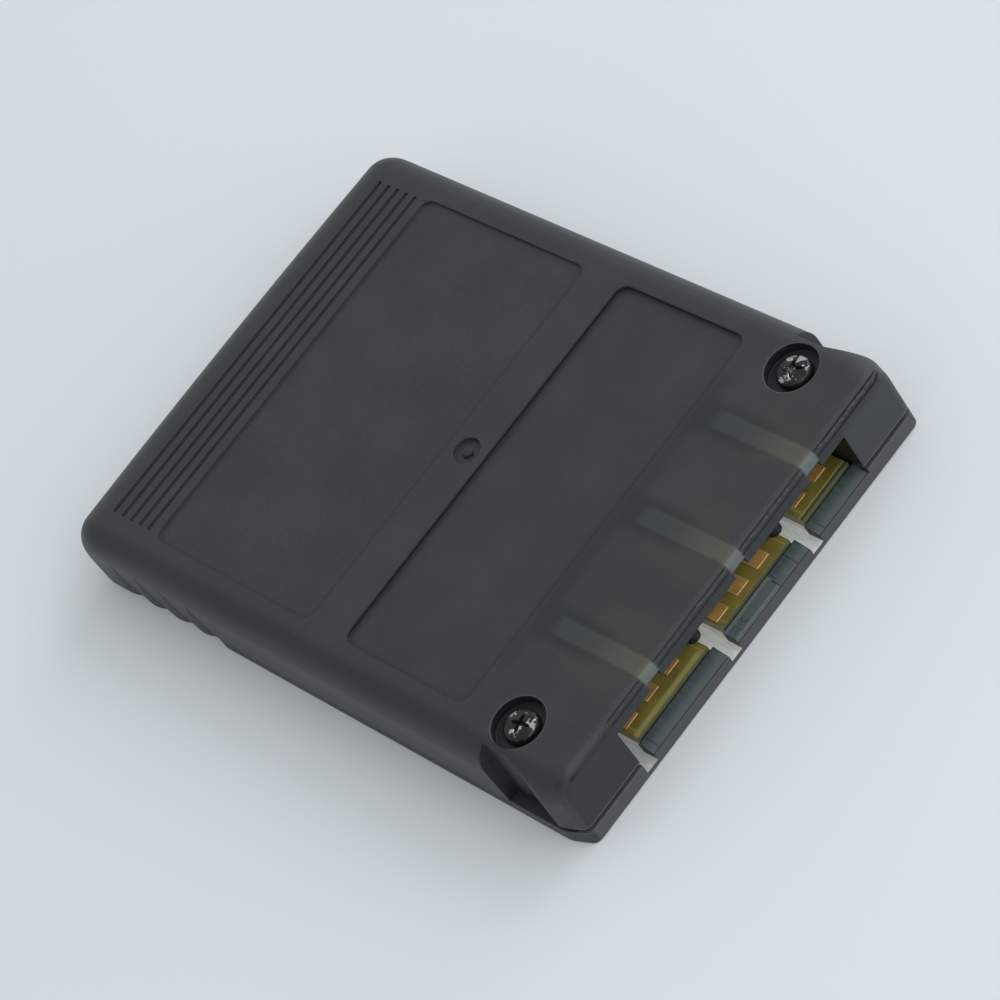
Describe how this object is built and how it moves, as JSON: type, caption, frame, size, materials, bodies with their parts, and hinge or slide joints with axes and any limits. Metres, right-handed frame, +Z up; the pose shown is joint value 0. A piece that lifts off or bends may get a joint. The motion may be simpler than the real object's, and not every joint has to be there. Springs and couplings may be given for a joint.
{
  "type": "console memory card",
  "caption": "Flat console memory card: a two-part smoked plastic case with a grooved grip end, latch notches and an open contact bay over a board with plated pads.",
  "frame": {"origin": "centre of the outline on the flat face the card rests on", "axes": "+X along the card to the contact end, +Y across the card, +Z up out of the screw side"},
  "size_m": [0.0582, 0.042, 0.0079],
  "materials": {
    "case_plastic": "dark smoke grey plastic with a fine matt grain",
    "screw_black": "black oxide, glossy",
    "board_laminate": "olive solder mask, satin",
    "pad_plating": "worn gold plating",
    "chip_plastic": "black moulding compound",
    "crystal_can": "drawn metal",
    "part_ceramic": "fired ceramic"
  },
  "bodies": {
    "root": {"upper_shell": "case_plastic", "lower_shell": "case_plastic", "case_screws": "screw_black", "circuit_board": "board_laminate", "memory_chip": "chip_plastic", "controller_chip": "chip_plastic", "voltage_regulator": "chip_plastic", "clock_crystal": "crystal_can", "contact_pad_1": "pad_plating", "contact_pad_2": "pad_plating", "contact_pad_3": "pad_plating", "contact_pad_4": "pad_plating", "contact_pad_5": "pad_plating", "contact_pad_6": "pad_plating", "contact_pad_7": "pad_plating", "contact_pad_8": "pad_plating", "capacitor_1": "part_ceramic", "capacitor_2": "part_ceramic", "capacitor_3": "part_ceramic", "capacitor_4": "part_ceramic", "resistor_1": "part_ceramic", "resistor_2": "part_ceramic", "resistor_3": "part_ceramic", "resistor_4": "part_ceramic"}
  },
  "joints": []
}
